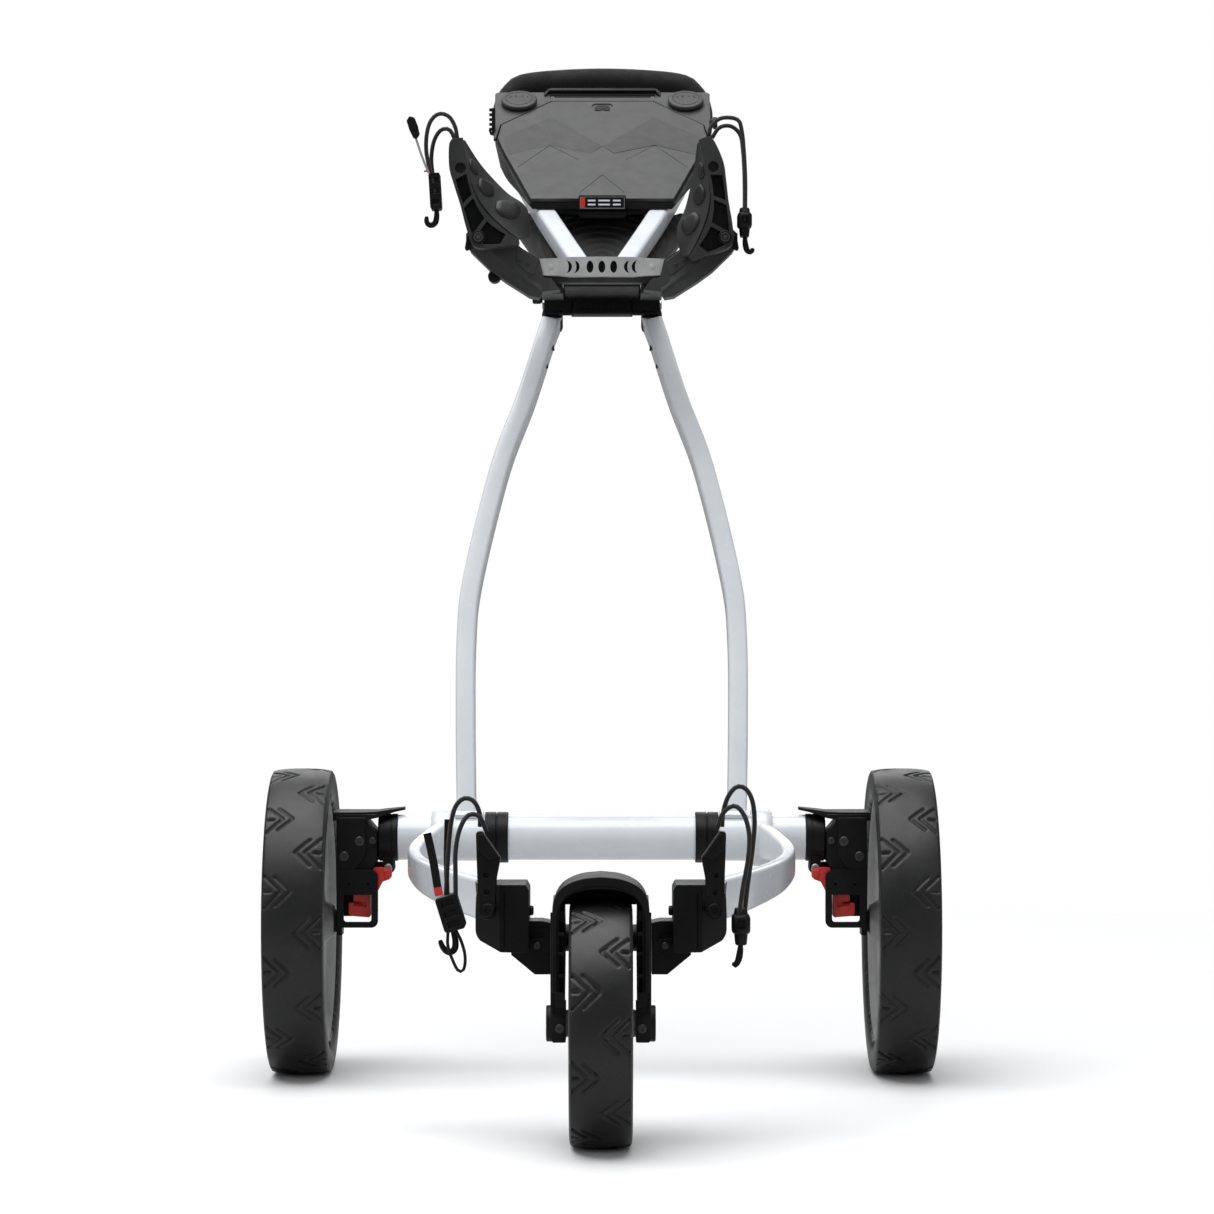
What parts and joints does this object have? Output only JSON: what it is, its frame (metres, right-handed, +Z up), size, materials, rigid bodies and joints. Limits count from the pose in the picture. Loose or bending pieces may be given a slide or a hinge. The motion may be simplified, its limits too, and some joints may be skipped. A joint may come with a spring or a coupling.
{
  "type": "golf push trolley",
  "caption": "Three-wheeled folding golf push trolley: white tube frame, black bag cradles with elastic cords, sloping console and foam handle.",
  "frame": {"origin": "centre of the bounding box in plan, on the floor under the wheels", "axes": "+Z up; -Y towards the front wheel, +Y towards the handle; +X to the viewer's right when looking at the front wheel"},
  "size_m": [0.6286, 1.269, 1.038],
  "materials": {
    "white_paint": "gloss white powder coat",
    "black_plastic": "satin black",
    "console_grey": "fine-grained dark grey",
    "tyre_rubber": "matt charcoal",
    "rim_grey": "fine-textured light grey",
    "lever_red": "semi-gloss red",
    "grip_foam": "matt closed-cell foam",
    "bar_grey": "matt grey",
    "steel": "brushed",
    "pouch_net": "knitted net",
    "elastic_cord": "braided sleeve over rubber"
  },
  "bodies": {
    "lower_frame": {"axle_tube": "white_paint", "axle_end_collar_left": "black_plastic", "axle_end_collar_right": "black_plastic", "pivot_collar_left": "black_plastic", "pivot_collar_right": "black_plastic", "lower_frame_arm_left": "white_paint", "lower_frame_arm_right": "white_paint", "lower_bag_bracket_left": "black_plastic", "lower_bag_bracket_right": "black_plastic", "fork_pivot_pin": "steel"},
    "front_fork": {"front_fork": "black_plastic", "front_axle_bolt": "steel"},
    "front_wheel": {"front_tyre": "tyre_rubber", "front_rim": "rim_grey"},
    "main_frame": {"main_tube_left": "white_paint", "main_tube_right": "white_paint", "upper_joint_left": "black_plastic", "upper_joint_right": "black_plastic", "upper_joint_pin": "steel", "upper_bag_bracket": "black_plastic", "bag_rest_bar": "bar_grey"},
    "handle": {"handle_hinge_barrel": "black_plastic", "handle_tube_left": "white_paint", "handle_tube_right": "white_paint", "handle_grip": "grip_foam", "console_base": "console_grey", "console_shoulder": "console_grey", "accessory_disc_left": "console_grey", "accessory_disc_right": "console_grey", "console_badge": "black_plastic", "net_pouch": "pouch_net"},
    "console_lid": {"console_lid": "console_grey"},
    "joint_release_knob": {"joint_release_knob": "black_plastic"},
    "wheel_carrier_left": {"wheel_carrier_left": "black_plastic", "carrier_cover_left": "black_plastic"},
    "rear_wheel_left": {"rear_tyre_left": "tyre_rubber", "rear_rim_left": "rim_grey"},
    "release_lever_left": {"release_lever_left": "lever_red"},
    "upper_bag_arm_left": {"upper_bag_arm_left": "black_plastic", "upper_bag_cord_left": "elastic_cord", "upper_bag_left_slider": "black_plastic", "upper_bag_left_hook": "black_plastic"},
    "lower_bag_arm_left": {"lower_bag_arm_left": "black_plastic", "lower_bag_cord_left": "elastic_cord", "lower_bag_left_slider": "black_plastic", "lower_bag_left_hook": "black_plastic"},
    "wheel_carrier_right": {"wheel_carrier_right": "black_plastic", "carrier_cover_right": "black_plastic"},
    "rear_wheel_right": {"rear_tyre_right": "tyre_rubber", "rear_rim_right": "rim_grey"},
    "release_lever_right": {"release_lever_right": "lever_red"},
    "upper_bag_arm_right": {"upper_bag_arm_right": "black_plastic", "upper_bag_cord_right": "elastic_cord", "upper_bag_right_slider": "black_plastic", "upper_bag_right_hook": "black_plastic"},
    "lower_bag_arm_right": {"lower_bag_arm_right": "black_plastic", "lower_bag_cord_right": "elastic_cord", "lower_bag_right_slider": "black_plastic", "lower_bag_right_hook": "black_plastic"}
  },
  "joints": [
    {"name": "wheel_fold_left", "type": "hinge", "parent": "lower_frame", "child": "wheel_carrier_left", "pos_m": [-0.203, 0.00746, 0.196], "axis": [0, -1, 0], "range_deg": [0, 90]},
    {"name": "rear_wheel_left_spin", "type": "hinge", "parent": "wheel_carrier_left", "child": "rear_wheel_left", "pos_m": [-0.28475, 0.00746, 0.145], "axis": [1, 0, 0], "continuous": true},
    {"name": "release_lever_left_pull", "type": "hinge", "parent": "wheel_carrier_left", "child": "release_lever_left", "pos_m": [-0.23, -0.01254, 0.185], "axis": [0, 1, 0], "range_deg": [0, 10], "stiffness_Nm_per_rad": 0.4, "springref_deg": -5.73},
    {"name": "upper_bag_arm_left_swing", "type": "hinge", "parent": "main_frame", "child": "upper_bag_arm_left", "pos_m": [-0.118, 0.05246, 0.7976], "axis": [0, 1, 0], "range_deg": [-10, 35]},
    {"name": "lower_bag_arm_left_swing", "type": "hinge", "parent": "lower_frame", "child": "lower_bag_arm_left", "pos_m": [-0.0945, -0.46454, 0.191], "axis": [0, 1, 0], "range_deg": [0, 35]},
    {"name": "wheel_fold_right", "type": "hinge", "parent": "lower_frame", "child": "wheel_carrier_right", "pos_m": [0.203, 0.00746, 0.196], "axis": [0, 1, 0], "range_deg": [0, 90]},
    {"name": "rear_wheel_right_spin", "type": "hinge", "parent": "wheel_carrier_right", "child": "rear_wheel_right", "pos_m": [0.28475, 0.00746, 0.145], "axis": [1, 0, 0], "continuous": true},
    {"name": "release_lever_right_pull", "type": "hinge", "parent": "wheel_carrier_right", "child": "release_lever_right", "pos_m": [0.23, -0.01254, 0.185], "axis": [0, -1, 0], "range_deg": [0, 10], "stiffness_Nm_per_rad": 0.4, "springref_deg": -5.73},
    {"name": "upper_bag_arm_right_swing", "type": "hinge", "parent": "main_frame", "child": "upper_bag_arm_right", "pos_m": [0.118, 0.05246, 0.7976], "axis": [0, -1, 0], "range_deg": [-25, 22]},
    {"name": "lower_bag_arm_right_swing", "type": "hinge", "parent": "lower_frame", "child": "lower_bag_arm_right", "pos_m": [0.0945, -0.46454, 0.191], "axis": [0, -1, 0], "range_deg": [0, 35]},
    {"name": "fork_fold", "type": "hinge", "parent": "lower_frame", "child": "front_fork", "pos_m": [0, -0.42254, 0.1635], "axis": [1, 0, 0], "range_deg": [0, 100]},
    {"name": "front_wheel_spin", "type": "hinge", "parent": "front_fork", "child": "front_wheel", "pos_m": [0, -0.53254, 0.102], "axis": [1, 0, 0], "continuous": true},
    {"name": "main_frame_fold", "type": "hinge", "parent": "lower_frame", "child": "main_frame", "pos_m": [0, 0.00746, 0.2245], "axis": [1, 0, 0], "range_deg": [0, 85]},
    {"name": "handle_fold", "type": "hinge", "parent": "main_frame", "child": "handle", "pos_m": [0, 0.19746, 0.746], "axis": [-1, 0, 0], "range_deg": [0, 130]},
    {"name": "console_lid_open", "type": "hinge", "parent": "handle", "child": "console_lid", "pos_m": [0, 0.5577, 0.99427], "axis": [-1, 0, 0], "range_deg": [0, 70]},
    {"name": "joint_release_knob_turn", "type": "hinge", "parent": "main_frame", "child": "joint_release_knob", "pos_m": [-0.0643, 0.18746, 0.752], "axis": [1, 0, 0], "range_deg": [0, 90]}
  ]
}
